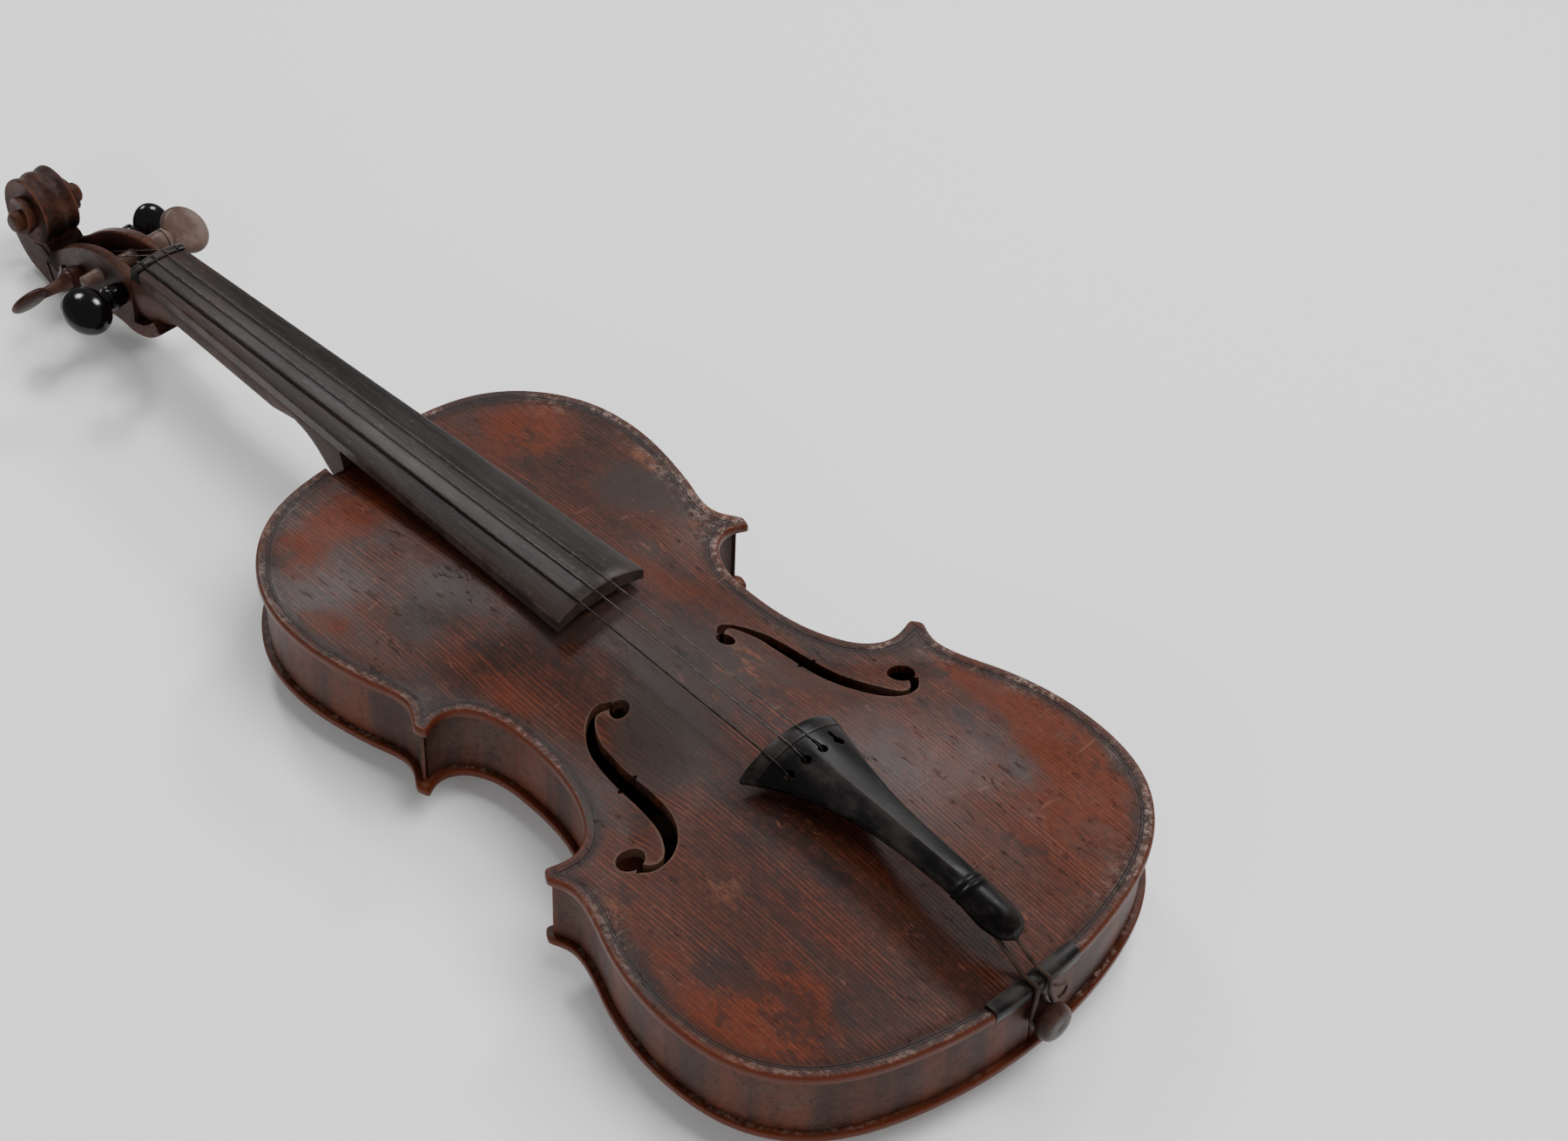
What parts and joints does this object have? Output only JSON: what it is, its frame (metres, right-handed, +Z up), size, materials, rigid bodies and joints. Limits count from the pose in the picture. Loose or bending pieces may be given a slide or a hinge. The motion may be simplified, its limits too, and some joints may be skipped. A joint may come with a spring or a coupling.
{
  "type": "violin",
  "caption": "Old three-stringed violin without a bridge, lying on its back: arched plates with f holes, bent ribs, scrolled neck, black fingerboard and tailpiece, four turning pegs.",
  "frame": {"origin": "middle of the footprint, on the ground the violin lies on", "axes": "+Z up out of the belly, +Y from the tail to the scroll, +X to the treble side"},
  "size_m": [0.2064, 0.5978, 0.0786],
  "materials": {
    "belly_varnish": "aged varnish",
    "maple_varnish": "aged varnish",
    "bare_spruce": "bare",
    "head_varnish": "worn varnish",
    "board_ebony": "worn",
    "black_fitting": "polished",
    "brown_fitting": "satin",
    "grey_fitting": "satin",
    "gut": "matt",
    "string_steel": "dull"
  },
  "bodies": {
    "violin": {"back_plate": "maple_varnish", "bass_bar": "bare_spruce", "belly_plate": "belly_varnish", "corner_block_lower_bass": "bare_spruce", "corner_block_lower_treble": "bare_spruce", "corner_block_upper_bass": "bare_spruce", "corner_block_upper_treble": "bare_spruce", "end_block": "bare_spruce", "end_button": "brown_fitting", "fingerboard": "board_ebony", "lining_lower_back_bass": "bare_spruce", "lining_lower_back_treble": "bare_spruce", "lining_lower_belly_bass": "bare_spruce", "lining_lower_belly_treble": "bare_spruce", "lining_middle_back_bass": "bare_spruce", "lining_middle_back_treble": "bare_spruce", "lining_middle_belly_bass": "bare_spruce", "lining_middle_belly_treble": "bare_spruce", "lining_upper_back_bass": "bare_spruce", "lining_upper_back_treble": "bare_spruce", "lining_upper_belly_bass": "bare_spruce", "lining_upper_belly_treble": "bare_spruce", "neck_and_scroll": "head_varnish", "neck_block": "bare_spruce", "nut": "black_fitting", "rib_lower_bass": "maple_varnish", "rib_lower_treble": "maple_varnish", "rib_middle_bass": "maple_varnish", "rib_middle_treble": "maple_varnish", "rib_upper_bass": "maple_varnish", "rib_upper_treble": "maple_varnish", "saddle": "black_fitting", "sound_post": "bare_spruce", "string_a": "string_steel", "string_d": "string_steel", "string_g": "string_steel", "tail_gut": "gut", "tailpiece": "black_fitting", "tailpiece_fret": "black_fitting"},
    "peg_g": {"peg_g": "black_fitting", "winding_g": "gut"},
    "peg_d": {"peg_d": "brown_fitting", "winding_d": "gut"},
    "peg_a": {"peg_a": "black_fitting", "winding_a": "gut"},
    "peg_e": {"peg_e": "grey_fitting"}
  },
  "joints": [
    {"name": "peg_g_turn", "type": "hinge", "parent": "violin", "child": "peg_g", "pos_m": [0, 0.20863, 0.03936], "axis": [1, 0, 0], "continuous": true},
    {"name": "peg_d_turn", "type": "hinge", "parent": "violin", "child": "peg_d", "pos_m": [0, 0.24164, 0.02637], "axis": [1, 0, 0], "continuous": true},
    {"name": "peg_a_turn", "type": "hinge", "parent": "violin", "child": "peg_a", "pos_m": [0, 0.25513, 0.01892], "axis": [1, 0, 0], "continuous": true},
    {"name": "peg_e_turn", "type": "hinge", "parent": "violin", "child": "peg_e", "pos_m": [0, 0.2258, 0.03703], "axis": [1, 0, 0], "continuous": true}
  ]
}
